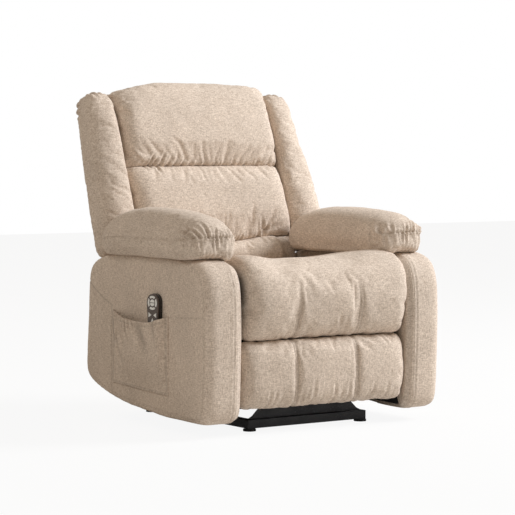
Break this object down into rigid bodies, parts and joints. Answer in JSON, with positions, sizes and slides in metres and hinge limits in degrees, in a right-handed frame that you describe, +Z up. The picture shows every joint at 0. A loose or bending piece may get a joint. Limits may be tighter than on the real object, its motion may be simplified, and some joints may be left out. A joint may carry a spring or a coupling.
{
  "type": "lift recliner chair",
  "caption": "Upholstered power lift recliner with a steel lift base, reclining winged back, fold-out footrest, padded arms and a handset in a side pocket",
  "frame": {"origin": "on the floor, centred under the chair", "axes": "+Z up, the chair faces -Y, the handset pocket is on the -X side"},
  "size_m": [0.877, 0.8373, 1.0337],
  "materials": {
    "chenille": "woven oatmeal chenille",
    "black_steel": "satin black powder coat",
    "bright_steel": "ground rod",
    "motor_plastic": "moulded black",
    "foot_rubber": "black glide",
    "timber": "plain sawn",
    "webbing": "elastic webbing",
    "dust_cloth": "black nonwoven cloth over a board",
    "handset_black": "satin moulded",
    "handset_brown": "smoked face",
    "button_pale": "pale keys"
  },
  "bodies": {
    "base": {"base_rail_left": "black_steel", "base_rail_right": "black_steel", "base_front_tube": "black_steel", "base_rear_tube": "black_steel", "levelling_feet": "foot_rubber", "power_supply": "motor_plastic"},
    "lift_links": {"lift_link_left": "black_steel", "lift_link_right": "black_steel", "lift_torque_tube": "black_steel"},
    "upper_links": {"upper_link_left": "black_steel", "upper_link_right": "black_steel"},
    "lift_motor": {"lift_motor": "motor_plastic"},
    "lift_rod": {"lift_motor_rod": "bright_steel"},
    "chassis": {"chassis_plate_left": "black_steel", "chassis_plate_right": "black_steel", "chassis_front_tube": "black_steel", "chassis_rear_tube": "black_steel", "chassis_front_bar": "black_steel", "seat_rail_left": "timber", "seat_rail_right": "timber", "seat_rail_front": "timber", "seat_rail_rear": "timber", "seat_webbing": "webbing", "seat_cushion": "chenille", "arm_frame_left": "dust_cloth", "arm_frame_right": "dust_cloth", "arm_left": "chenille", "arm_right": "chenille", "arm_pillow_left": "chenille", "arm_pillow_right": "chenille", "side_pocket": "chenille", "rear_panel": "chenille", "recline_motor": "motor_plastic"},
    "back": {"back_board": "timber", "back_panel": "chenille", "headrest_cushion": "chenille", "lumbar_cushion": "chenille", "lower_back_cushion": "chenille", "wing_left": "chenille", "wing_right": "chenille", "back_brackets": "black_steel"},
    "footrest_thighs": {"footrest_thigh_left": "black_steel", "footrest_thigh_right": "black_steel", "footrest_drive_tube": "black_steel"},
    "footrest_shins": {"footrest_shin_left": "black_steel", "footrest_shin_right": "black_steel"},
    "footrest": {"footrest_board": "timber", "footrest_pad": "chenille"},
    "recline_rod": {"recline_motor_rod": "bright_steel"},
    "handset": {"handset_shell": "handset_black", "handset_face": "handset_brown"},
    "arc_button_top": {"arc_button_top": "button_pale"},
    "arc_button_rear": {"arc_button_rear": "button_pale"},
    "arc_button_bottom": {"arc_button_bottom": "button_pale"},
    "arc_button_front": {"arc_button_front": "button_pale"},
    "half_button_upper": {"half_button_upper": "button_pale"},
    "half_button_lower": {"half_button_lower": "button_pale"},
    "triangle_button_front": {"triangle_button_front": "button_pale"},
    "triangle_button_rear": {"triangle_button_rear": "button_pale"},
    "triangle_button_up": {"triangle_button_up": "button_pale"}
  },
  "joints": [
    {"name": "lift", "type": "hinge", "parent": "base", "child": "lift_links", "pos_m": [0.01, -0.118, 0.05], "axis": [1, 0, 0], "range_deg": [0, 60]},
    {"name": "chassis_tilt", "type": "hinge", "parent": "lift_links", "child": "chassis", "pos_m": [0.01, 0.232, 0.062], "axis": [1, 0, 0], "range_deg": [-35, 0]},
    {"name": "upper_links_swing", "type": "hinge", "parent": "base", "child": "upper_links", "pos_m": [0.01, -0.172, 0.076], "axis": [1, 0, 0], "range_deg": [0, 63]},
    {"name": "lift_motor_swing", "type": "hinge", "parent": "base", "child": "lift_motor", "pos_m": [-0.065, 0.225, 0.06], "axis": [1, 0, 0], "range_deg": [0, 6.2]},
    {"name": "lift_rod_slide", "type": "slide", "parent": "lift_motor", "child": "lift_rod", "axis": [0, -0.972, 0.2348], "range_m": [0, 0.0825]},
    {"name": "back_recline", "type": "hinge", "parent": "chassis", "child": "back", "pos_m": [0.01, 0.227, 0.435], "axis": [-1, 0, 0], "range_deg": [0, 45]},
    {"name": "footrest", "type": "hinge", "parent": "chassis", "child": "footrest_thighs", "pos_m": [0.01, -0.25, 0.215], "axis": [-1, 0, 0], "range_deg": [0, 107.5]},
    {"name": "footrest_shin_fold", "type": "hinge", "parent": "footrest_thighs", "child": "footrest_shins", "pos_m": [0.01, -0.205, 0.072], "axis": [-1, 0, 0], "range_deg": [-100, 0]},
    {"name": "footrest_turn", "type": "hinge", "parent": "footrest_shins", "child": "footrest", "pos_m": [0.01, -0.33, 0.2], "axis": [-1, 0, 0], "range_deg": [0, 82.5]},
    {"name": "recline_rod_slide", "type": "slide", "parent": "chassis", "child": "recline_rod", "axis": [0, -1, 0], "range_m": [0, 0.0645]},
    {"name": "handset_lift_out", "type": "slide", "parent": "chassis", "child": "handset", "axis": [0, 0, 1], "range_m": [0, 0.1]},
    {"name": "arc_button_top_press", "type": "slide", "parent": "handset", "child": "arc_button_top", "axis": [0.9903, 0.1392, 0], "range_m": [0, 0.001], "stiffness_N_per_m": 300},
    {"name": "arc_button_rear_press", "type": "slide", "parent": "handset", "child": "arc_button_rear", "axis": [0.9903, 0.1392, 0], "range_m": [0, 0.001], "stiffness_N_per_m": 300},
    {"name": "arc_button_bottom_press", "type": "slide", "parent": "handset", "child": "arc_button_bottom", "axis": [0.9903, 0.1392, 0], "range_m": [0, 0.001], "stiffness_N_per_m": 300},
    {"name": "arc_button_front_press", "type": "slide", "parent": "handset", "child": "arc_button_front", "axis": [0.9903, 0.1392, 0], "range_m": [0, 0.001], "stiffness_N_per_m": 300},
    {"name": "half_button_upper_press", "type": "slide", "parent": "handset", "child": "half_button_upper", "axis": [0.9903, 0.1392, 0], "range_m": [0, 0.001], "stiffness_N_per_m": 300},
    {"name": "half_button_lower_press", "type": "slide", "parent": "handset", "child": "half_button_lower", "axis": [0.9903, 0.1392, 0], "range_m": [0, 0.001], "stiffness_N_per_m": 300},
    {"name": "triangle_button_front_press", "type": "slide", "parent": "handset", "child": "triangle_button_front", "axis": [0.9903, 0.1392, 0], "range_m": [0, 0.001], "stiffness_N_per_m": 300},
    {"name": "triangle_button_rear_press", "type": "slide", "parent": "handset", "child": "triangle_button_rear", "axis": [0.9903, 0.1392, 0], "range_m": [0, 0.001], "stiffness_N_per_m": 300},
    {"name": "triangle_button_up_press", "type": "slide", "parent": "handset", "child": "triangle_button_up", "axis": [0.9903, 0.1392, 0], "range_m": [0, 0.001], "stiffness_N_per_m": 300}
  ],
  "couplings": [
    {"joint": "chassis_tilt", "follows": "lift", "ratio": -0.58333},
    {"joint": "upper_links_swing", "follows": "lift", "ratio": 1.05},
    {"joint": "lift_motor_swing", "follows": "lift", "ratio": 0.1017},
    {"joint": "lift_rod_slide", "follows": "lift", "m_per_rad": 0.07855},
    {"joint": "footrest_shin_fold", "follows": "footrest", "ratio": -0.9293},
    {"joint": "footrest_turn", "follows": "footrest", "ratio": 0.7665},
    {"joint": "recline_rod_slide", "follows": "footrest", "m_per_rad": 0.0344}
  ]
}
